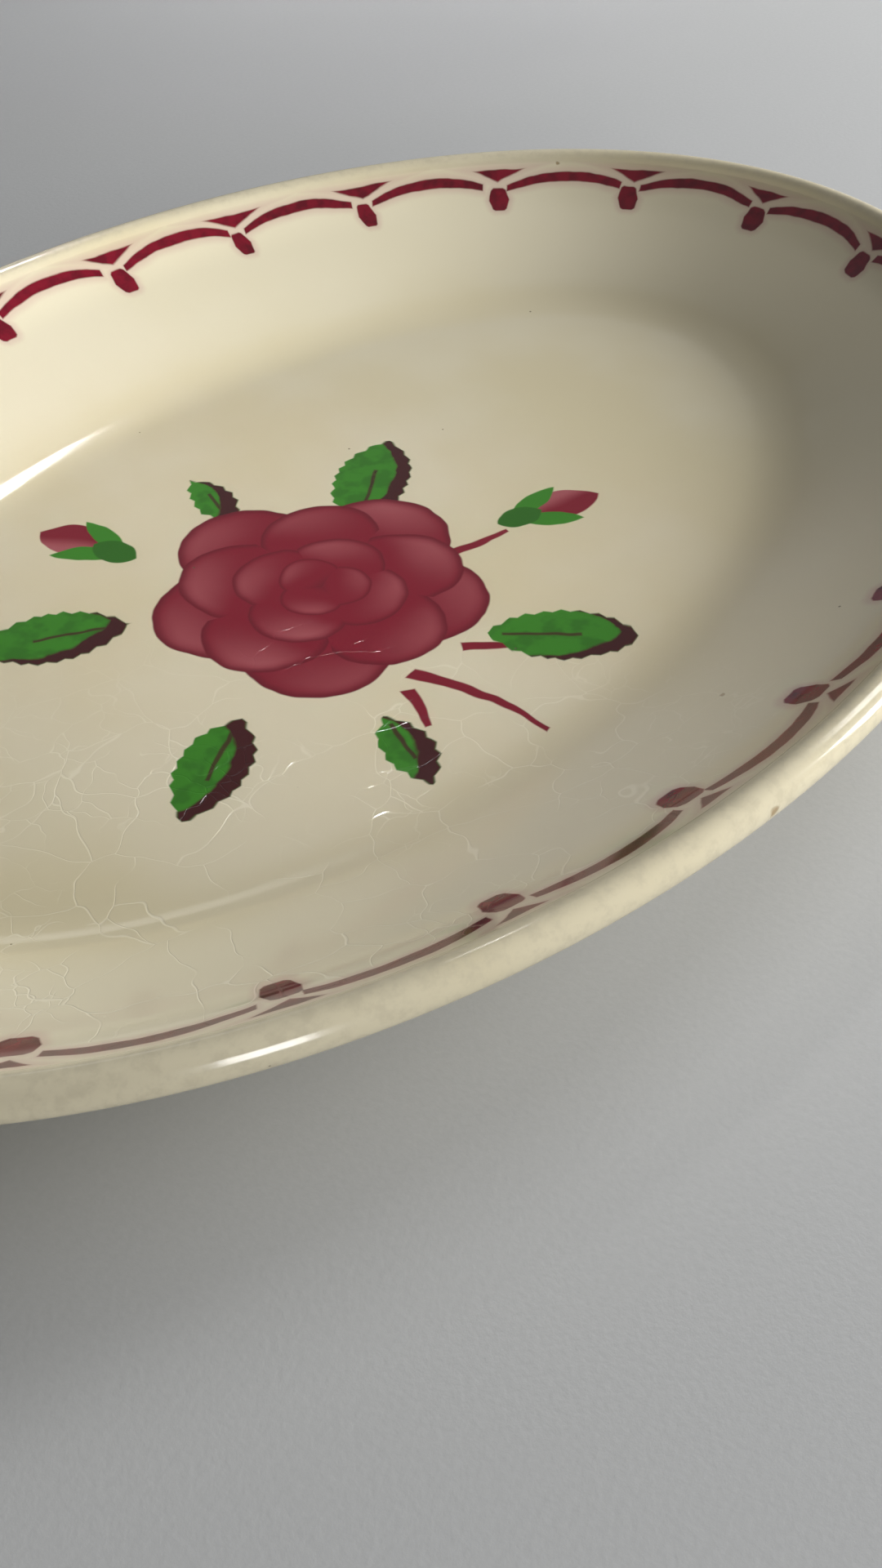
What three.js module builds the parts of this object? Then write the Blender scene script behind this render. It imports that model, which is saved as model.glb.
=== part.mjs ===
// Oval serving dish: a fired earthenware body, one coat of glaze over its face, lip and
// outside, and a second coat under its base. The standing face of the foot ring is bare.
// Millimetres, +Z up: the dish stands on z = 0, centred on the origin, with its length along X.

import * as THREE from "three";

// Overall sizes, over the glaze
const LENGTH = 320;
const WIDTH = 222;
const HEIGHT = 31;

// Face: insets are from the edge of the body, drops are from the crest of its lip
const LIP_RADIUS = 2.7;
const CREASE_INSET = 5.3; // the lip's round meets the border here
const CREASE_DROP = 1.8;
const CREASE_BLEND = 1.2; // radius in the crease
const BORDER_INSET = 14; // the border ends and the rim begins here
const BORDER_DROP = 8.2;
const BORDER_BLEND = 30; // radius between border and rim
const WELL_INSET = 44.5; // the rim's slope, carried on, would reach the floor here
const WELL_BLEND = 28; // radius between rim and floor

// Wall, base and foot ring
const WALL = 5.4;
const BASE = 5.8;
const FOOT_HEIGHT = 2.6; // outer side of the foot ring
const FOOT_RECESS = 3.2; // inner side of the foot ring
const FOOT_WIDTH = 5;
const FOOT_BLEND = 1.6; // radius where the foot ring joins the dish
const FOOT_ROUND = 0.9; // radius of the foot ring's lower edges

// Glaze
const GLAZE = 0.3;
const BARE_BAND = 1.4; // height of bare clay at the bottom of the foot ring

// Facets
const AROUND = 64;
const TOLERANCE = 0.06; // most that a round may stand off its facets
const SAME_POINT = 1e-6;

const CREAM_GLAZE = { color: 0xe3dabd, roughness: 0.12 };
const DULL_GLAZE = { color: 0xdcd2b4, roughness: 0.2 };
const BARE_CLAY = { color: 0xcdb992, roughness: 0.9 };

const bodyLength = LENGTH - 2 * GLAZE;
const bodyWidth = WIDTH - 2 * GLAZE;
const crest = HEIGHT - GLAZE;
const floor = FOOT_RECESS + BASE;
const middle = -bodyWidth / 2;

// A point of the dish's section: how far it stands out past the body's edge, and its height.
const at = (reach, height) => new THREE.Vector2(reach, height);
const corner = (point, radius) => ({ point, radius });
const leftOf = (direction) => at(-direction.y, direction.x);

// A run of straight lines with rounded corners, as points with their outward normals. The clay
// lies to the right of the run. Where two rounds are too large for the line between them, both shrink.
function roundedRun(start, corners, end) {
  const knots = [start, ...corners.map(({ point }) => point), end];
  const lines = knots.slice(1).map((knot, i) => knot.clone().sub(knots[i]));
  const headings = lines.map((line) => line.clone().normalize());
  const turns = corners.map((_, i) =>
    Math.atan2(headings[i].cross(headings[i + 1]), headings[i].dot(headings[i + 1])),
  );
  const cuts = [0, ...corners.map(({ radius }, i) => radius * Math.tan(Math.abs(turns[i]) / 2)), 0];
  const room = lines.map((line, i) => Math.min(1, line.length() / (cuts[i] + cuts[i + 1])));

  const run = [{ point: start, normal: leftOf(headings[0]) }];
  corners.forEach(({ point, radius }, i) => {
    const fit = Math.min(room[i], room[i + 1]);
    const bend = -Math.sign(turns[i]) * radius * fit;
    const entry = leftOf(headings[i]);
    const centre = point
      .clone()
      .addScaledVector(headings[i], -cuts[i + 1] * fit)
      .addScaledVector(entry, -bend);
    const step = 2 * Math.acos(1 - Math.min(1, TOLERANCE / Math.abs(bend)));
    const count = Math.max(2, Math.ceil(Math.abs(turns[i]) / step));
    for (let k = 0; k <= count; k += 1) {
      const normal = entry.clone().rotateAround(at(0, 0), (turns[i] * k) / count);
      run.push({ point: centre.clone().addScaledVector(normal, bend), normal });
    }
  });
  run.push({ point: end, normal: leftOf(headings.at(-1)) });
  return run.filter(({ point }, i) => i === 0 || point.distanceTo(run[i - 1].point) > SAME_POINT);
}

// The slope of the line from a point that just touches a circle, above it (+1) or below it (-1).
function tangentSlope(point, centre, radius, side) {
  const way = centre.clone().sub(point);
  return Math.tan(way.angle() + side * Math.asin(radius / way.length()));
}

// Face, lip and outside, from the middle of the floor to the bare band of the foot ring. The lip is
// one full round, and the wall below the rim is parallel to it.
const lipCentre = at(-LIP_RADIUS, crest - LIP_RADIUS);
const crease = at(-CREASE_INSET, crest - CREASE_DROP);
const lipSlope = tangentSlope(crease, lipCentre, LIP_RADIUS, 1);
const borderEnd = at(-BORDER_INSET, crest - BORDER_DROP);
const rim = borderEnd.clone().sub(at(-WELL_INSET, floor));
const rimSlope = rim.y / rim.x;
const borderBack = borderEnd.clone().addScaledVector(leftOf(rim).normalize(), -WALL);
const backSlope = tangentSlope(borderBack, lipCentre, LIP_RADIUS, -1);
const footReach = borderBack.x - (borderBack.y - FOOT_HEIGHT) / rimSlope;
const footInner = footReach - FOOT_WIDTH;

const upper = roundedRun(
  at(middle, floor),
  [
    corner(at(-WELL_INSET, floor), WELL_BLEND),
    corner(borderEnd, BORDER_BLEND),
    corner(crease, CREASE_BLEND),
    corner(at(crease.x + CREASE_DROP / lipSlope, crest), LIP_RADIUS),
    corner(at(0, crest), LIP_RADIUS),
    corner(at(0, borderBack.y - borderBack.x * backSlope), LIP_RADIUS),
    corner(borderBack, BORDER_BLEND),
    corner(at(footReach, FOOT_HEIGHT), FOOT_BLEND),
  ],
  at(footReach, BARE_BAND),
);

// The bare foot ring, and the recess inside it up to the middle of the base
const foot = roundedRun(
  at(footReach, BARE_BAND),
  [corner(at(footReach, 0), FOOT_ROUND), corner(at(footInner, 0), FOOT_ROUND)],
  at(footInner, BARE_BAND),
);
const recess = roundedRun(
  at(footInner, BARE_BAND),
  [corner(at(footInner, FOOT_RECESS), FOOT_BLEND)],
  at(middle, FOOT_RECESS),
);

const clayFace = (run) => run.map(({ point }) => point);
const glazeFace = (run) => run.map(({ point, normal }) => point.clone().addScaledVector(normal, GLAZE));
const glazeBack = (run) => clayFace(run).reverse();

// A section carried round the oval: every ring is an ellipse at one inset from the body's edge, and
// at the middle the rings close onto a line along X. Each four-sided facet is split from its first
// corner, or from its second, so that the back of a glaze splits as the clay under it does.
function ovalSolid(section, splitFirst) {
  const rows = section.length;
  const positions = [];
  const triangles = [];
  for (let i = 0; i < AROUND; i += 1) {
    const angle = (2 * Math.PI * i) / AROUND;
    for (const { x: reach, y: height } of section) {
      positions.push((bodyLength / 2 + reach) * Math.cos(angle));
      positions.push((bodyWidth / 2 + reach) * Math.sin(angle));
      positions.push(height);
    }
    for (let j = 0; j < rows - 1; j += 1) {
      const here = i * rows + j;
      const beside = ((i + 1) % AROUND) * rows + j;
      const facet = [here, here + 1, beside + 1, beside];
      const [p, q, r, s] = splitFirst ? facet : [...facet.slice(1), facet[0]];
      triangles.push(p, q, r, p, r, s);
    }
  }
  const geometry = new THREE.BufferGeometry();
  geometry.setAttribute("position", new THREE.Float32BufferAttribute(positions, 3));
  geometry.setIndex(triangles);
  geometry.computeVertexNormals();
  return geometry;
}

function piece(name, section, splitFirst, finish) {
  const mesh = new THREE.Mesh(
    ovalSolid(section, splitFirst),
    new THREE.MeshStandardMaterial({ metalness: 0, ...finish }),
  );
  mesh.name = name;
  return mesh;
}

const claySection = [...clayFace(upper), ...clayFace(foot).slice(1, -1), ...clayFace(recess)];
const upperSection = [...glazeFace(upper), ...glazeBack(upper)];
const baseSection = [...glazeBack(recess), ...glazeFace(recess)];

const dish = new THREE.Group();
dish.add(
  piece("earthenware_body", claySection, true, BARE_CLAY),
  piece("upper_glaze", upperSection, false, CREAM_GLAZE),
  piece("base_glaze", baseSection, false, DULL_GLAZE),
);

export default dish;
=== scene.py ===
import math

import bpy
import numpy as np
from mathutils import Matrix, Vector


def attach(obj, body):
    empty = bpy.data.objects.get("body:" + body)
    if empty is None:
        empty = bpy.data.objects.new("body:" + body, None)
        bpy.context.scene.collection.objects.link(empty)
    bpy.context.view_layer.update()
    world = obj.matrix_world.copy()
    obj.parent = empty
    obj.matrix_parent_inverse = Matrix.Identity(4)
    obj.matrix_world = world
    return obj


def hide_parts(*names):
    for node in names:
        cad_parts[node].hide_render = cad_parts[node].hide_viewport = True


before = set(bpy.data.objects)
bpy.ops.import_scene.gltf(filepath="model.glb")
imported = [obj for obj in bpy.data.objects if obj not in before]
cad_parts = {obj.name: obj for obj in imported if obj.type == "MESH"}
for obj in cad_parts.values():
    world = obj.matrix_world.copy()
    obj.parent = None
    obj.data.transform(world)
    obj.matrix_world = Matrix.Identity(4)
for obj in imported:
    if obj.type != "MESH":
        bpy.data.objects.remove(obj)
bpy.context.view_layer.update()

# Sizes of the dish, in millimetres
MM = 0.001
LENGTH = 320.0
WIDTH = 222.0
HEIGHT = 31.0
LIP_RADIUS = 2.7
CREASE_INSET = 5.3
CREASE_DROP = 1.8
CREASE_BLEND = 1.2
BORDER_INSET = 14.0
BORDER_DROP = 8.2
BORDER_BLEND = 30.0
WELL_INSET = 44.5
WELL_BLEND = 28.0
WALL = 5.4
BASE = 5.8
FOOT_HEIGHT = 2.6
FOOT_RECESS = 3.2
FOOT_WIDTH = 5.0
FOOT_BLEND = 1.6
FOOT_ROUND = 0.9
GLAZE = 0.3
BARE_BAND = 1.4

# Fineness of the meshes
COLUMNS = 384
ARC_STEP = math.radians(1.6)
ARC_EASE = 6.0  # small rounds have longer steps: this radius doubles ARC_STEP
LINE_STEP = 2.5
BACK_STRIDE = 4
SAME_POINT = 1e-6

# Unevenness from the mould and the kiln, in millimetres
LIP_WAVE = 0.22
FLOOR_SAG = 0.18

# Painted border: swags between hanging drops, with wedges over the drops, in millimetres of inset
SWAGS = 24
SWAG_LINE = 14.4  # the ring along which the swags are evenly spaced
SWAG_APEX = 8.85
SWAG_SAG = 1.9
SWAG_HALF_SPAN = 12.9
SWAG_LEAD = 1.6  # the swags start further back on one side of the dish
SWAG_THICKNESS = 2.2
SWAG_THINNING = 0.2  # swags and drops are slighter on one side of the dish than on the other
DROP_INSET = 13.7
DROP_HALF_WIDTH = 3.0
DROP_HALF_HEIGHT = 2.75
DROP_THINNING = 0.3
DROP_ROUNDING = 1.1  # the oval that rounds off a drop's corners, against its half sizes
WEDGE_TOP = 7.2
WEDGE_HEIGHT = 2.7
WEDGE_HALF_WIDTH = 4.9
WEDGE_CHANGE = 1.2  # wedges are wider on one side of the dish than on the other
PAINT_SOFTNESS = 0.2

# Painted spray in the well: places in millimetres, turns in degrees
BLOOM_PLACE = (-12.0, -6.0)
PETAL_RINGS = (
    # petals, turn, how far out, half length, half width
    (5, 10, 18.5, 13.5, 13.6),
    (5, 47, 15.0, 12.0, 11.6),
    (4, 20, 8.6, 9.0, 9.2),
    (3, 75, 3.9, 5.8, 5.9),
)
LEAVES = (
    # place, turn, half length, half width
    ((-41.0, 27.0), 146, 14.5, 7.4),
    ((33.0, 17.0), 28, 15.5, 8.0),
    ((-47.0, -20.0), 204, 13.0, 6.4),
    ((16.0, -43.0), 308, 14.0, 7.2),
    ((8.0, 37.0), 74, 9.0, 4.2),
    ((-24.0, -42.0), 246, 9.5, 4.4),
)
BUDS = (((44.0, -16.0), 336), ((-17.0, 42.0), 104))
STEMS = (
    # place, turn, half length, bend
    ((27.0, -13.0), 340, 9.0, 0.006),
    ((-6.0, -43.0), 276, 13.5, -0.009),
    ((6.0, -36.0), 318, 6.0, 0.012),
    ((-15.0, -36.5), 238, 5.0, -0.012),
)

# Marks in the glaze: place in millimetres, radius
KILN_MARKS = (
    ((-30.5, -109.0, 28.1), 1.1),
    ((-1.7, -84.2, 17.3), 0.7),
    ((135.1, 50.0, 28.8), 0.8),
    ((61.0, 103.0, 27.0), 0.9),
    ((-148.0, 12.0, 24.0), 0.8),
)
CRAZED_PLACE = (-72.0, -72.0, 14.0)  # the glaze is crazed round here more than elsewhere
CRAZED_REACH = 95.0
WIDE_CRACKS = (13.0, 0.15)  # size of the cells, width of the lines
FINE_CRACKS = (7.0, 0.13)

# Bands of the glaze: where each begins and where it is full, in millimetres in from the edge
LIP_INNER = (6.0, 4.2)
LIP_OUTER = (-6.0, -3.0)
RIM_OUTER = (6.0, 10.0)
RIM_INNER = (46.0, 28.0)
WELL_OUTER = (36.0, 42.0)
WELL_INNER = (52.0, 46.0)
UNDER_GLAZE = -50.0  # the back of the coat is in none of the bands

# Finishes, as they are written in a paint chart
IVORY = 0xD6CDB1
WARM_IVORY = 0xD1C6A4
THIN_IVORY = 0xBDB49B
# paler, cooler ivory for the rim band: a painted sheen, the whitish light the glossy rim gives back
RIM_SHEEN_IVORY = 0xDBD3B9
# paler ivory along the crazing hairlines: a painted reflection of light caught in the cracks
CRACK_REFLECTION_IVORY = 0xF2ECD8
CRIMSON = 0x780A20
DEEP_CRIMSON = 0x500514
ROSE_PINK = 0xB4686C
OVERSPRAY = 0xB98A88
LEAF_GREEN = 0x347C17
DARK_LEAF_GREEN = 0x27620D
LEAF_SHADOW = 0x3C0C0C
STAIN = 0x8A7048
PINHOLE = 0x5A4A36
CLAY = 0xCDB992
CLAY_GREY = 0x9C9182
FLOOR_GREY = 0xB2B3B3
FLOOR_DARK = 0xA8A9A9
GLAZE_ROUGHNESS = 0.045
GLAZE_SPECULAR = 0.4
FLOOR_ROUGHNESS = 0.7
FLOOR_SPECULAR = 0.3


def rounded_line(knots, radii):
    """Points and outward normals along straight runs whose corners are arcs of the given radii. Each
    arc touches both runs beside it, so a run ends radius x tan(half the turn) before its corner. The
    outward normal is the heading turned to the left. A point that repeats the last one is dropped."""
    knots = np.array(knots, float)
    runs = np.diff(knots, axis=0)
    heading = runs / np.linalg.norm(runs, axis=1)[:, None]
    left = np.stack([-heading[:, 1], heading[:, 0]], axis=1)
    across = heading[:-1, 0] * heading[1:, 1] - heading[:-1, 1] * heading[1:, 0]
    turn = np.arctan2(across, (heading[:-1] * heading[1:]).sum(axis=1))
    cut = np.append(np.array(radii) * np.tan(np.abs(turn) / 2), 0.0)
    points, normals = [], []
    start = knots[0]
    for i, way in enumerate(left):
        end = knots[i + 1] - heading[i] * cut[i]
        share = np.linspace(0, 1, 2 + int(np.linalg.norm(end - start) / LINE_STEP))[:, None]
        points.append(start + (end - start) * share)
        normals.append(np.broadcast_to(way, (len(share), 2)))
        if i < len(turn):
            bend = -np.sign(turn[i]) * radii[i]
            step = ARC_STEP * (1 + ARC_EASE / radii[i])
            angle = np.linspace(0, turn[i], 3 + int(abs(turn[i]) / step))
            spin = np.stack([np.cos(angle), -np.sin(angle), np.sin(angle), np.cos(angle)], axis=1)
            arc_normals = (spin.reshape(-1, 2, 2) @ way)[1:]
            arc = end - way * bend + arc_normals * bend
            points.append(arc[:-1])
            normals.append(arc_normals[:-1])
            start = arc[-1]
    points, normals = np.concatenate(points), np.concatenate(normals)
    apart = np.linalg.norm(np.diff(points, axis=0), axis=1) > SAME_POINT
    kept = np.append(True, apart)
    return points[kept], normals[kept]


def tangent_slope(point, centre, radius, side):
    """The slope of the line from a point that just touches a circle, above it (+1) or below it (-1)."""
    way = centre - point
    return math.tan(math.atan2(way[1], way[0]) + side * math.asin(radius / math.hypot(*way)))


def dish_sections():
    """The clay's section in three runs, as in the solids: (reach past the body's edge, height). First
    face, lip and outside, then the bare foot ring, then the recess up to the middle of the base."""
    crest = HEIGHT - GLAZE
    floor = FOOT_RECESS + BASE
    middle = GLAZE - WIDTH / 2
    lip_centre = np.array([-LIP_RADIUS, crest - LIP_RADIUS])
    border_end = np.array([-BORDER_INSET, crest - BORDER_DROP])
    crease = np.array([-CREASE_INSET, crest - CREASE_DROP])
    lip_slope = tangent_slope(crease, lip_centre, LIP_RADIUS, 1)
    rim = border_end - (-WELL_INSET, floor)
    border_back = border_end + np.array([rim[1], -rim[0]]) / np.hypot(*rim) * WALL
    back_slope = tangent_slope(border_back, lip_centre, LIP_RADIUS, -1)
    foot_reach = border_back[0] - (border_back[1] - FOOT_HEIGHT) * rim[0] / rim[1]
    foot_inner = foot_reach - FOOT_WIDTH
    upper = rounded_line(
        [
            (middle, floor),
            (-WELL_INSET, floor),
            border_end,
            crease,
            (crease[0] + CREASE_DROP / lip_slope, crest),
            (0, crest),
            (0, border_back[1] - border_back[0] * back_slope),
            border_back,
            (foot_reach, FOOT_HEIGHT),
            (foot_reach, BARE_BAND),
        ],
        [WELL_BLEND, BORDER_BLEND, CREASE_BLEND] + [LIP_RADIUS] * 3 + [BORDER_BLEND, FOOT_BLEND],
    )
    foot = rounded_line(
        [(foot_reach, BARE_BAND), (foot_reach, 0), (foot_inner, 0), (foot_inner, BARE_BAND)],
        [FOOT_ROUND, FOOT_ROUND],
    )
    recess = rounded_line(
        [(foot_inner, BARE_BAND), (foot_inner, FOOT_RECESS), (middle, FOOT_RECESS)], [FOOT_BLEND]
    )
    return upper, foot, recess


def kiln_warp(points):
    """Lowers the lip by two slow waves round the oval, with the square of how far out a point lies
    past the foot, and sinks the middle of the dish by a shallow bowl. Nothing rises or spreads."""
    x, y, z = points[..., 0], points[..., 1], points[..., 2]
    out = np.hypot(x / (LENGTH / 2), y / (WIDTH / 2))
    bearing = np.arctan2(y / WIDTH, x / LENGTH)
    wave = (2 + np.cos(2 * bearing + 0.9) + np.cos(3 * bearing - 0.4)) / 4
    rim = np.clip((out - 0.62) / 0.38, 0, 1) ** 2
    bowl = np.clip(1 - (out / 0.6) ** 2, 0, 1) ** 2
    standing = np.clip(z / 2.0, 0, 1)
    lowered = z - (LIP_WAVE * rim * (1 - wave) + FLOOR_SAG * bowl) * standing
    return np.stack([x, y, lowered], axis=-1)


def swag_phase(angle):
    """How many swags lie between the +Y end of the dish and an angle round the oval, clockwise, by arc
    length along the ring at SWAG_LINE. The arc length is the running sum of many short chords."""
    fine = np.linspace(0, 2 * np.pi, 7201)
    ring = np.stack(
        [(LENGTH / 2 - SWAG_LINE) * np.cos(fine), (WIDTH / 2 - SWAG_LINE) * np.sin(fine)], axis=1
    )
    run = np.append(0.0, np.cumsum(np.linalg.norm(np.diff(ring, axis=0), axis=1)))
    return SWAGS * (0.25 - np.interp(angle, fine, run) / run[-1])


def oval_piece(name, section, border=None):
    """A section carried round the oval: row r and column c give the point on the ellipse with half axes
    (half length + reach, half width + reach) at the angle of c. The first and the last row lie on the
    line along X where the rings close, so there columns c and COLUMNS - c are one vertex. border gives
    each row's distance in from the edge for the painted border's map."""
    rows = len(section)
    angle = 2 * np.pi * np.arange(COLUMNS) / COLUMNS
    reach = section[:, :1]
    points = np.stack(
        [
            (LENGTH / 2 - GLAZE + reach) * np.cos(angle),
            (WIDTH / 2 - GLAZE + reach) * np.sin(angle),
            np.broadcast_to(section[:, 1:], (rows, COLUMNS)),
        ],
        axis=-1,
    )
    column = np.arange(COLUMNS)
    number = np.arange(rows * COLUMNS).reshape(rows, COLUMNS)
    folded = np.minimum(column, COLUMNS - column)
    number[0] = number[0][folded]
    number[-1] = number[-1][folded]
    row = np.arange(rows - 1)[:, None, None] + np.array([0, 1, 1, 0])
    turn = column[None, :, None] + np.array([0, 0, 1, 1])
    row, turn = np.broadcast_arrays(row, turn)
    kept, corners = np.unique(number[row, turn % COLUMNS], return_inverse=True)
    vertices = kiln_warp(points).reshape(-1, 3)[kept] * MM
    mesh = bpy.data.meshes.new(name)
    mesh.from_pydata(vertices.tolist(), [], corners.reshape(-1, 4).tolist())
    mesh.shade_smooth()
    if border is not None:
        phase = swag_phase(2 * np.pi * np.arange(COLUMNS + 1) / COLUMNS)
        layer = mesh.uv_layers.new(name="border")
        layer.uv.foreach_set("vector", np.stack([phase[turn], border[row]], axis=-1).ravel())
    piece = bpy.data.objects.new(name, mesh)
    bpy.context.scene.collection.objects.link(piece)
    return piece


def linear(paint):
    """A paint chart's colour as the linear colour that a shader takes."""
    share = np.array([paint >> 16, paint >> 8 & 255, paint & 255]) / 255
    flat = np.where(share <= 0.04045, share / 12.92, ((share + 0.055) / 1.055) ** 2.4)
    return (*flat.tolist(), 1.0)


class Shade:
    """One output of a material's nodes. Arithmetic on shades and numbers adds Math nodes."""

    def __init__(self, tree, socket=None):
        self.tree = tree
        self.socket = socket

    def node(self, kind, settings, sockets, output=0):
        """Adds a node of that type, makes its settings, then fills or links its sockets. Gives one
        output, or a list of them where several are named."""
        made = self.tree.nodes.new(kind)
        for name, setting in settings.items():
            setattr(made, name, setting)
        for name, value in sockets.items():
            self.feed(made.inputs[name], value)
        if isinstance(output, tuple):
            return [Shade(self.tree, made.outputs[name]) for name in output]
        return Shade(self.tree, made.outputs[output])

    def feed(self, socket, value):
        if isinstance(value, Shade):
            self.tree.links.new(value.socket, socket)
        else:
            socket.default_value = value

    def math(self, operation, *values):
        return self.node("ShaderNodeMath", {"operation": operation}, dict(enumerate(values)))

    def __add__(self, other):
        return self.math("ADD", self, other)

    def __radd__(self, other):
        return self.math("ADD", other, self)

    def __sub__(self, other):
        return self.math("SUBTRACT", self, other)

    def __rsub__(self, other):
        return self.math("SUBTRACT", other, self)

    def __mul__(self, other):
        return self.math("MULTIPLY", self, other)

    def __rmul__(self, other):
        return self.math("MULTIPLY", other, self)

    def __truediv__(self, other):
        return self.math("DIVIDE", self, other)

    def __rtruediv__(self, other):
        return self.math("DIVIDE", other, self)

    def __abs__(self):
        return self.math("ABSOLUTE", self)

    def least(self, other):
        return self.math("MINIMUM", self, other)

    def most(self, other):
        return self.math("MAXIMUM", self, other)

    def step(self, start, end):
        """0 up to start and 1 past end, with a smooth rise between. It falls where start > end."""
        return self.node(
            "ShaderNodeMapRange",
            {"interpolation_type": "SMOOTHSTEP"},
            {"Value": self, "From Min": start, "From Max": end},
        )

    def inside(self, softness=PAINT_SOFTNESS):
        """1 where this distance is below zero, with a soft edge."""
        return self.step(softness, -softness)

    def blend(self, under, upper, mask):
        """One colour over another where mask is 1. Each is a shade or a paint chart's colour."""
        under, upper = (tone if isinstance(tone, Shade) else linear(tone) for tone in (under, upper))
        sockets = {0: mask, 6: under, 7: upper}
        return self.node("ShaderNodeMix", {"data_type": "RGBA"}, sockets, output=2)

    def laid(self, colour, mask):
        """Another colour laid over this one where mask is 1."""
        return self.blend(self, colour, mask)

    def parts(self):
        return self.node("ShaderNodeSeparateXYZ", {}, {0: self}, output=(0, 1, 2))

    def joined(self, x, y, z=0.0):
        return self.node("ShaderNodeCombineXYZ", {}, {0: x, 1: y, 2: z})

    def vector(self, operation, *values, output=0):
        sockets = dict(enumerate(values))
        return self.node("ShaderNodeVectorMath", {"operation": operation}, sockets, output)

    def length(self):
        return self.vector("LENGTH", self, output=1)

    def scaled(self, factor):
        return self.node("ShaderNodeVectorMath", {"operation": "SCALE"}, {0: self, 3: factor})

    def shifted(self, other):
        return self.vector("ADD", self, other)

    def away(self, point):
        """Distance from a point."""
        return self.vector("DISTANCE", self, point, output=1)

    def placed(self, place, turn):
        """Coordinates seen from a place, turned by so many degrees."""
        sockets = {
            "Vector": self,
            "Location": (*place, 0.0),
            "Rotation": (0.0, 0.0, math.radians(turn)),
        }
        return self.node("ShaderNodeMapping", {"vector_type": "TEXTURE"}, sockets)

    def noise(self, size, detail=2.0, roughness=0.5, output=0):
        """Soft random values, with features of about this size."""
        sockets = {"Vector": self, "Scale": 1 / size, "Detail": detail, "Roughness": roughness}
        return self.node("ShaderNodeTexNoise", {}, sockets, output)

    def wander(self, size, reach):
        """These coordinates moved about by up to half of reach, over features of this size."""
        way = self.noise(size, 2.0, output=1).shifted((-0.5, -0.5, -0.5))
        return self.shifted(way.scaled(reach))

    def chance(self):
        """Three random numbers for each whole value of this one."""
        return self.node(
            "ShaderNodeTexWhiteNoise", {"noise_dimensions": "1D"}, {"W": self}, output=1
        ).parts()


def new_material(name):
    material = bpy.data.materials.new(name)
    material.use_nodes = True
    tree = material.node_tree
    sheet = Shade(tree)
    place = sheet.node("ShaderNodeTexCoord", {}, {}, output=3).scaled(1 / MM)
    return material, sheet, place, tree.nodes["Principled BSDF"]


def raised(sheet, surface, height):
    """Feeds a height in millimetres to the surface's normal."""
    bump = sheet.node("ShaderNodeBump", {}, {"Height": height, "Distance": MM, "Strength": 1.0})
    sheet.feed(surface.inputs["Normal"], bump)


def cracks(place, size, width):
    """1 along hairlines between cells of about this size, from the distance to the edges of a cell
    pattern whose coordinates wander. Each line fades out along part of its length."""
    bent = place.wander(size * 1.3, size * 1.1)
    edge = place.node(
        "ShaderNodeTexVoronoi",
        {"feature": "DISTANCE_TO_EDGE"},
        {"Vector": bent, "Scale": 1 / size},
    )
    kept = place.noise(size * 1.1, 1.0).step(0.34, 0.48)
    return (edge * size).step(width, width * 0.2) * kept


def crazing(place):
    """Wide cells of cracks, split here and there by smaller ones."""
    split = place.noise(30.0, 1.0).step(0.42, 0.55)
    fine = cracks(place.shifted((31.0, 7.0, 0.0)), *FINE_CRACKS) * split
    return cracks(place, *WIDE_CRACKS).most(fine)


def specks(place, size, radius, share):
    """1 on small dots, one in each cell of a pattern, kept in only a share of the cells."""
    far, pick = place.node(
        "ShaderNodeTexVoronoi", {}, {"Vector": place, "Scale": 1 / size}, output=("Distance", "Color")
    )
    return (far * size).step(radius, radius * 0.5) * (share - pick.parts()[0]).step(0.0, 0.01)


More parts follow.
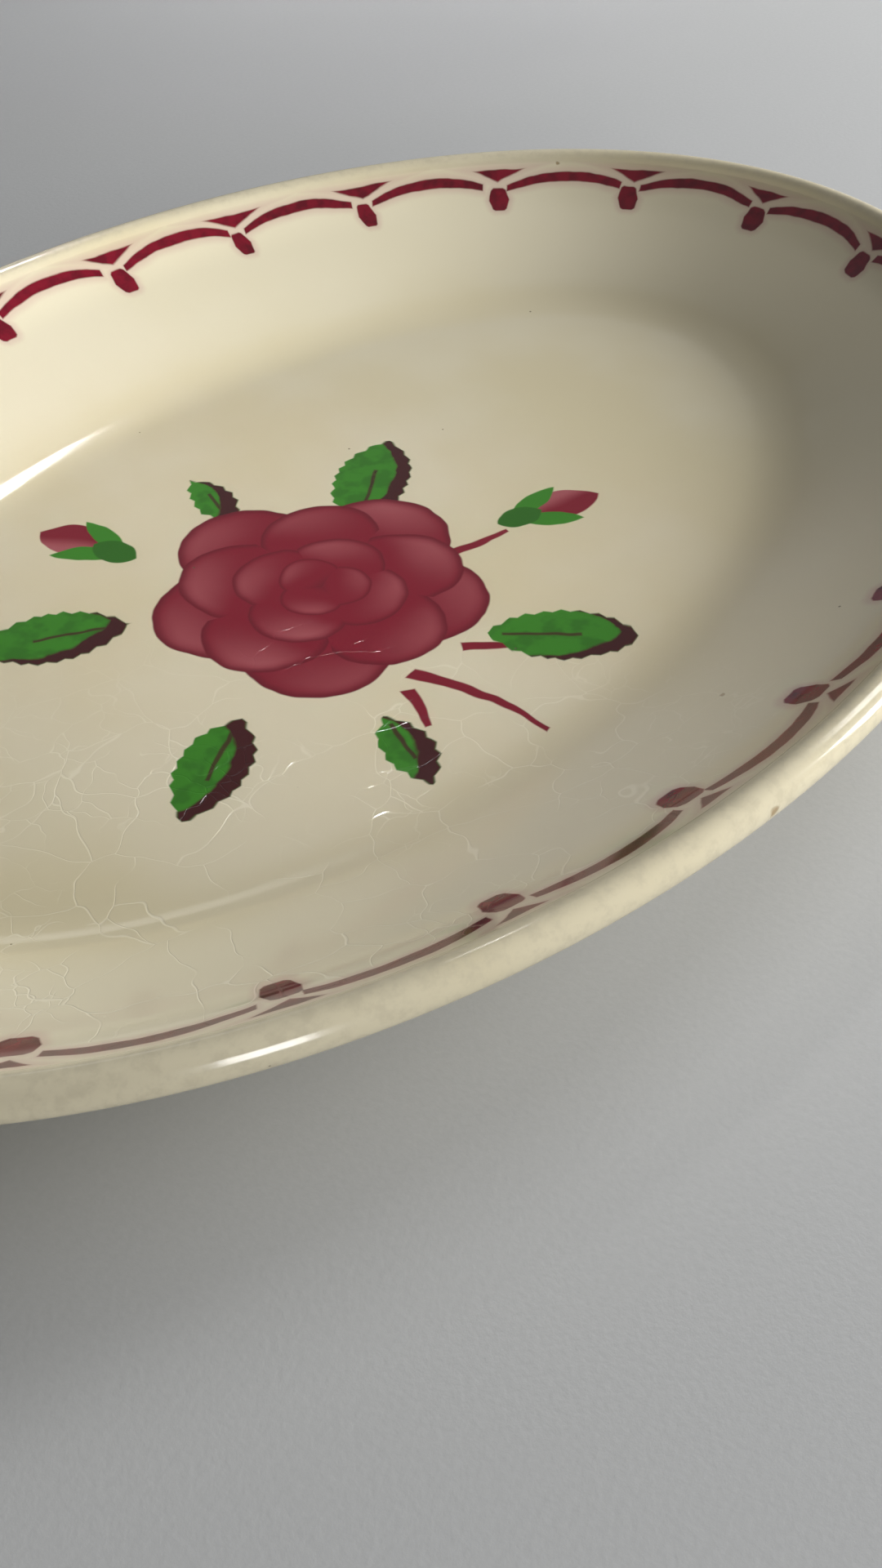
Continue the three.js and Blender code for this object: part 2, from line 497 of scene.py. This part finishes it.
def painted_border(sheet, place):
    """Distances in millimetres to the border's marks, by swag phase and inset: a swag is a parabola
    of even thickness, a drop is a six-sided lozenge cut by an oval, and a wedge hangs point down over
    each drop."""
    map_u, map_v, _ = sheet.node("ShaderNodeUVMap", {"uv_map": "border"}, {}).parts()
    half_axes = (LENGTH / 2 - SWAG_LINE, WIDTH / 2 - SWAG_LINE)
    pitch = 2 * math.pi * math.hypot(*half_axes) / math.sqrt(2) / SWAGS
    waver_x, waver_y, _ = place.noise(7.0, 2.0, output=1).parts()
    along = map_u + (waver_x - 0.5) * (1.2 / pitch)
    inset = map_v + (waver_y - 0.5) * 0.9

    side = sheet.math("COSINE", (map_u - 2.5) * (2 * math.pi / SWAGS))
    lead = side.most(0.0) * SWAG_LEAD
    swag = sheet.math("FLOOR", along)
    swag_chance = sheet.math("FLOORED_MODULO", swag, SWAGS).chance()
    off_middle = (along - swag - 0.5) * pitch + (swag_chance[0] - 0.5) * 1.2
    share = off_middle / SWAG_HALF_SPAN
    centre = share * share * SWAG_SAG + SWAG_APEX + (swag_chance[1] - 0.5) * 0.4
    half = (SWAG_THICKNESS - side * SWAG_THINNING) / 2 * (1.08 - share * share * 0.32)
    ends = (off_middle - SWAG_HALF_SPAN).most(0.0 - off_middle - SWAG_HALF_SPAN - lead)
    swags = (abs(inset - centre) - half).most(ends)

    joint = sheet.math("FLOOR", along + 0.5)
    joint_number = sheet.math("FLOORED_MODULO", joint, SWAGS)
    joint_chance = joint_number.chance()
    off_joint = (along - joint) * pitch + (joint_chance[0] - 0.5) * 1.4
    rise = inset - DROP_INSET - (joint_chance[1] - 0.5) * 0.7
    lean = abs(off_joint - rise * (0.05 + joint_chance[2] * 0.25))
    breadth = DROP_HALF_WIDTH - side * DROP_THINNING - joint_chance[2] * 0.5
    drops = (abs(rise) - DROP_HALF_HEIGHT).most((lean + abs(rise) * 0.3 - breadth) * 0.95)
    oval = sheet.joined(lean / breadth, rise / DROP_HALF_HEIGHT).length() - DROP_ROUNDING
    drops = drops.most(oval * DROP_HALF_HEIGHT)

    spread = WEDGE_HALF_WIDTH + side * WEDGE_CHANGE + (joint_chance[2] - 0.5) * 2.0
    depth = inset - WEDGE_TOP
    off_wedge = abs(off_joint + (joint_chance[1] - 0.5) * 2.0)
    wedges = (0.0 - depth).most((off_wedge / spread + depth / WEDGE_HEIGHT - 1.0) * 1.7)
    # a random depth of paint for each swag, plus painted shade: the paint is darker on one side of the
    # dish
    tone_and_painted_shade = swag_chance[2] * 0.4 - side * 0.15
    return swags.least(drops).least(wedges), tone_and_painted_shade, map_v


def lens(near, half_length, half_width):
    """Distance in millimetres to a leaf of two equal arcs: the farther arc's circle has its centre
    across the middle line, so only the distance from that centre counts."""
    x, y, _ = near.parts()
    radius = (half_length**2 + half_width**2) / (2 * half_width)
    return near.joined(x, abs(y) + (radius - half_width)).length() - radius


def painted_leaf(paint, spray, place, turn, half_length, half_width, grain):
    """A green leaf with a notched edge, a dark vein and a brown crescent sprayed along its lower side."""
    near = spray.placed(place, turn)
    x, y, _ = near.parts()
    notch = paint.math("PINGPONG", x, 1.5) * 0.45
    shape = lens(near, half_length, half_width) + notch
    dark = grain.step(0.42, 0.62) * 0.6
    paint = paint.laid(paint.blend(LEAF_GREEN, DARK_LEAF_GREEN, dark), shape.inside())
    away = lens(spray.placed((place[0] - 1.4, place[1] + 3.4), turn), half_length, half_width)
    shadow = shape.most(0.0 - away - grain * 1.6 + 0.5).inside(0.35)
    vein = (abs(y) - 0.38).most(abs(x + half_length * 0.25) - half_length * 0.5).inside()
    return paint.laid(LEAF_SHADOW, shadow.most(vein * 0.85))


def painted_stem(paint, spray, place, turn, half_length, bend):
    """A brush stroke along a parabola that narrows towards its end."""
    x, y, _ = spray.placed(place, turn).parts()
    width = 0.95 - x * (0.35 / half_length)
    stroke = (abs(y - x * x * bend) - width).most(abs(x) - half_length)
    return paint.laid(CRIMSON, stroke.inside())


def painted_bud(paint, spray, place, turn):
    """A closed bud: a crimson tip between two green sepals over a small green cup."""
    near = spray.placed(place, turn)
    tip = lens(near.placed((6.0, 0.0), 0), 8.0, 4.6)
    paint = paint.laid(CRIMSON, tip.inside())
    x, y, _ = near.parts()
    glow = tip.inside() * (y - x * 0.2).step(-2.0, 2.4) * 0.6
    paint = paint.laid(ROSE_PINK, glow)
    for side in (1, -1):
        sepal = lens(near.placed((1.0, side * 3.2), side * 24), 7.0, 2.2)
        paint = paint.laid(LEAF_GREEN, sepal.inside())
    cup = lens(near.placed((-3.5, 0.0), 0), 5.0, 3.4)
    return paint.laid(DARK_LEAF_GREEN, cup.inside())


def painted_ring(paint, spray, seed, count, turn, out, half_length, half_width):
    """A ring of petals. The bearing is folded into one sector, in which a petal is an ellipse centred
    so far out; it is pale towards its tip and dark along its edge and its base."""
    near = spray.placed((0.0, 0.0), turn)
    x, y, _ = near.parts()
    sector = paint.math("ARCTAN2", y, x) * (count / (2 * math.pi))
    petal = paint.math("FLOOR", sector + 0.5)
    chance = (paint.math("FLOORED_MODULO", petal, count) + seed).chance()
    bearing = (sector - petal) * (2 * math.pi / count) + (chance[0] - 0.5) * 0.22
    reach = near.length()
    along = (reach * paint.math("COSINE", bearing) - (out + (chance[1] - 0.5) * 3.0)) / half_length
    across = reach * paint.math("SINE", bearing) / half_width
    edge = paint.joined(along, across).length()
    mask = ((edge - 1.0) * half_width).inside()
    pale = along.step(-0.1, 0.75) * edge.step(1.04, 0.74) * (0.4 + chance[2] * 0.5)
    pale = pale * (across + 0.1).step(-1.0, 0.8)
    tone = paint.blend(CRIMSON, ROSE_PINK, pale * 0.6)
    dark = (along.step(-0.2, -0.95) * 0.8).most(edge.step(0.86, 1.0) * 0.6)
    tone = tone.laid(DEEP_CRIMSON, dark)
    return paint.laid(tone, mask)


def painted_spray(paint, place):
    """One open bloom of four rings of petals, with stems, buds and leaves round it."""
    spray = place.wander(11.0, 2.6).placed(BLOOM_PLACE, 0)
    spray = spray.vector("MULTIPLY", spray, (1.0, 1.0, 0.0))
    grain = place.noise(4.0, 2.0)
    for stem in STEMS:
        paint = painted_stem(paint, spray, *stem)
    for leaf in LEAVES:
        paint = painted_leaf(paint, spray, *leaf, grain)
    for bud in BUDS:
        paint = painted_bud(paint, spray, *bud)
    for number, ring in enumerate(PETAL_RINGS):
        paint = painted_ring(paint, spray, 10.0 * number + 3.0, *ring)
    return paint


def ivory_glaze():
    """Glossy ivory glaze over the painted decoration, with slow changes of tone, a duller mottled lip,
    crazing on one side, pinholes and a few kiln marks."""
    material, sheet, place, surface = new_material("ivory_glaze")
    marks, tone_and_painted_shade, inset = painted_border(sheet, place)
    lip = inset.step(*LIP_INNER) * inset.step(*LIP_OUTER)
    mottle = place.noise(2.4, 3.0, 0.65)
    colour = sheet.blend(IVORY, WARM_IVORY, place.noise(46.0, 3.0).step(0.35, 0.7))
    # the rim band is laid paler and cooler: a painted sheen
    colour = colour.laid(RIM_SHEEN_IVORY, inset.step(*RIM_OUTER) * inset.step(*RIM_INNER) * 0.7)
    colour = colour.laid(THIN_IVORY, lip * (0.5 + mottle.step(0.4, 0.7) * 0.4))
    colour = colour.laid(WARM_IVORY, inset.step(*WELL_OUTER) * inset.step(*WELL_INNER) * 0.5)

    crazed = place.wander(40.0, 50.0).away(CRAZED_PLACE).step(CRAZED_REACH, CRAZED_REACH * 0.45)
    lines = crazing(place) * crazed * inset.step(8.0, 11.0)
    # the crazing itself is real, but its hairlines are painted paler: a painted reflection of light
    # caught in the cracks
    colour = colour.laid(CRACK_REFLECTION_IVORY, lines * 0.36)
    colour = colour.laid(OVERSPRAY, marks.step(2.0, 0.0) * 0.36)
    # the paint's depth varies at random, and is darker on one side of the dish as painted shade
    density = place.noise(2.6, 2.0).step(0.35, 0.7) * 0.6 + tone_and_painted_shade
    colour = colour.laid(sheet.blend(CRIMSON, DEEP_CRIMSON, density), marks.inside())
    colour = painted_spray(colour, place)

    holes = specks(place, 4.5, 0.3, 0.04 + lip * 0.36)
    kiln = None
    for spot, radius in KILN_MARKS:
        mark = place.wander(1.6, 1.4).away(spot).step(radius, radius * 0.4)
        kiln = mark if kiln is None else kiln.most(mark)
    colour = colour.laid(STAIN, kiln * 0.75)
    colour = colour.laid(PINHOLE, holes * 0.75)
    sheet.feed(surface.inputs["Base Color"], colour)
    surface.inputs["Specular IOR Level"].default_value = GLAZE_SPECULAR
    smear = place.noise(28.0, 3.0)
    dull = GLAZE_ROUGHNESS + smear * 0.06 + lip * 0.05 + lines * 0.08 + kiln * 0.3
    sheet.feed(surface.inputs["Roughness"], dull)
    ripple = place.noise(16.0, 1.0) * 0.03 + place.noise(2.4, 1.0) * (0.0016 + lip * 0.006)
    raised(sheet, surface, ripple - lines * 0.02 - holes * 0.05 - kiln * 0.04)
    return material


def base_glaze():
    """Duller glaze under the base, with crazing and grey scuffs."""
    material, sheet, place, surface = new_material("base_glaze")
    cloud = place.noise(30.0, 3.0)
    colour = sheet.blend(IVORY, WARM_IVORY, cloud.step(0.3, 0.7))
    lines = crazing(place) * place.noise(60.0, 1.0).step(0.35, 0.55)
    holes = specks(place, 5.0, 0.3, 0.2)
    scuffs = place.noise(12.0, 5.0, 0.7).step(0.56, 0.72)
    colour = colour.laid(STAIN, lines * 0.35)
    colour = colour.laid(CLAY_GREY, scuffs * 0.3)
    colour = colour.laid(PINHOLE, holes * 0.7)
    sheet.feed(surface.inputs["Base Color"], colour)
    sheet.feed(surface.inputs["Roughness"], 0.18 + cloud * 0.1 + scuffs * 0.2)
    raised(sheet, surface, place.noise(3.0, 2.0) * 0.01 - lines * 0.012 - holes * 0.05)
    return material


def bare_clay():
    """Buff fired clay: gritty, with iron specks, and grey where the dish has stood."""
    material, sheet, place, surface = new_material("bare_clay")
    grit = place.noise(1.2, 3.0)
    colour = sheet.blend(CLAY, CLAY_GREY, place.noise(14.0, 4.0, 0.6).step(0.45, 0.7) * 0.7)
    colour = colour.laid(STAIN, specks(place, 2.4, 0.3, 0.3) * 0.8)
    _, _, z = place.parts()
    colour = colour.laid(CLAY_GREY, z.step(0.35, 0.0) * grit.step(0.3, 0.6) * 0.7)
    sheet.feed(surface.inputs["Base Color"], colour)
    sheet.feed(surface.inputs["Roughness"], 0.72 + grit * 0.2)
    raised(sheet, surface, grit * 0.08)
    return material


def pale_floor():
    """Pale grey board with a fine grain."""
    material, sheet, place, surface = new_material("pale_floor")
    grain = place.noise(1.1, 3.0, 0.6)
    cloud = place.noise(120.0, 2.0)
    colour = sheet.blend(FLOOR_GREY, FLOOR_DARK, cloud * 0.6 + (grain - 0.5) * 0.9)
    sheet.feed(surface.inputs["Base Color"], colour)
    surface.inputs["Roughness"].default_value = FLOOR_ROUGHNESS
    surface.inputs["Specular IOR Level"].default_value = FLOOR_SPECULAR
    raised(sheet, surface, grain * 0.03)
    return material


def dress(piece, node, material):
    piece.data.materials.append(material)
    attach(piece, "root")
    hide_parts(node)


# The dish
(upper, upper_out), (foot, _), (recess, recess_out) = dish_sections()
upper_face = upper + upper_out * GLAZE
edge_row = int(np.argmax(upper_face[:, 0]))
past_edge = np.append(0.0, np.cumsum(np.linalg.norm(np.diff(upper_face, axis=0), axis=1)))
face_inset = np.where(
    np.arange(len(upper)) <= edge_row, GLAZE - upper_face[:, 0], past_edge[edge_row] - past_edge
)
back_rows = np.unique(np.append(np.arange(0, len(upper), BACK_STRIDE), len(upper) - 1))[::-1]
upper_coat = oval_piece(
    "ivory_glaze_coat",
    np.concatenate([upper_face, upper[back_rows]]),
    np.concatenate([face_inset, np.full(len(back_rows), UNDER_GLAZE)]),
)
dress(upper_coat, "upper_glaze", ivory_glaze())

recess_face = recess + recess_out * GLAZE
base_coat = oval_piece("base_glaze_coat", np.concatenate([recess[::-1], recess_face]))
dress(base_coat, "base_glaze", base_glaze())

clay_rows = np.concatenate([upper[back_rows[::-1]], foot[1:-1], recess])
clay = oval_piece("clay_body", clay_rows)
dress(clay, "earthenware_body", bare_clay())

# Floor
FLOOR_HALF = 3.0
floor_mesh = bpy.data.meshes.new("floor")
floor_corners = np.array([(-1, -1, 0), (1, -1, 0), (1, 1, 0), (-1, 1, 0)]) * FLOOR_HALF
floor_mesh.from_pydata(floor_corners.tolist(), [], [(0, 1, 2, 3)])
floor = bpy.data.objects.new("floor", floor_mesh)
floor.data.materials.append(pale_floor())
bpy.context.scene.collection.objects.link(floor)


def soft_box(
    name, bearing, elevation, distance, width, height, level, aim=(0, 0, 0), roll=0, spread=180
):
    """A rectangular lamp that faces a point from a bearing and an elevation, in degrees. At level 1 it
    alone lights a white card that faces it to white: its power is level x (pi x distance) squared."""
    bearing, elevation = math.radians(bearing), math.radians(elevation)
    flat = math.cos(elevation)
    way = Vector((math.cos(bearing) * flat, math.sin(bearing) * flat, math.sin(elevation)))
    lamp = bpy.data.lights.new(name, "AREA")
    lamp.shape = "RECTANGLE"
    lamp.size = width
    lamp.size_y = height
    lamp.energy = level * (math.pi * distance) ** 2
    lamp.spread = math.radians(spread)
    holder = bpy.data.objects.new(name, lamp)
    turn = way.to_track_quat("Z", "Y").to_matrix() @ Matrix.Rotation(math.radians(roll), 3, "Z")
    holder.matrix_world = Matrix.Translation(Vector(aim) + way * distance) @ turn.to_4x4()
    bpy.context.scene.collection.objects.link(holder)


# Lamps: name, bearing, elevation, distance, width, height, level
soft_box("side_window", -33, 17, 1.3, 0.75, 0.36, 1.62)
soft_box("front_window", -118, 16, 1.3, 0.2, 0.6, 0.47)
soft_box("back_window", -8, 38, 1.4, 0.5, 0.4, 0.32)
soft_box("back_card", 58, 20.5, 1.5, 0.9, 0.22, 0.0003, aim=(-0.07, -0.06, 0.01), spread=16)
soft_box("floor_lamp", 45, 75, 1.3, 0.1, 0.1, 0.0044, aim=(0.34, 0.32, 0.0), spread=22)
soft_box(
    "back_lamp", 40.3, 51.0, 1.0, 0.044, 0.3, 0.002,
    aim=(-0.0192, 0.0665, 0.0102), roll=61, spread=9,
)

# World: dim fill light, and a pale backdrop where the camera or a reflection looks past the floor
FILL = 0.05
BACKDROP = 0.4
world = bpy.data.worlds.new("studio")
world.use_nodes = True
bpy.context.scene.world = world
sky = Shade(world.node_tree)
rays = ("Is Camera Ray", "Is Glossy Ray", "Is Transmission Ray")
seen, glossy, through = sky.node("ShaderNodeLightPath", {}, {}, output=rays)
seen = seen.most(glossy).most(through)
background = world.node_tree.nodes["Background"]
background.inputs["Color"].default_value = linear(0xF2F4F6)
sky.feed(background.inputs["Strength"], FILL + seen * (BACKDROP - FILL))

# Camera
CAMERA_PLACE = Vector((-0.17039, -0.16974, 0.17125))
CAMERA_HEADING = Vector((0.5537, 0.4758, -0.6834))
CAMERA_ROLL = -0.0243
SENSOR_HEIGHT = 36.0
LENS = 34.576
camera_data = bpy.data.cameras.new("camera")
camera_data.sensor_fit = "VERTICAL"
camera_data.sensor_height = SENSOR_HEIGHT
camera_data.lens = LENS
camera_data.clip_start = 0.01
camera = bpy.data.objects.new("camera", camera_data)
bpy.context.scene.collection.objects.link(camera)
turned = CAMERA_HEADING.to_track_quat("-Z", "Y").to_matrix() @ Matrix.Rotation(CAMERA_ROLL, 3, "Z")
camera.matrix_world = Matrix.Translation(CAMERA_PLACE) @ turned.to_4x4()
bpy.context.scene.camera = camera

bpy.context.scene.view_settings.view_transform = "Standard"
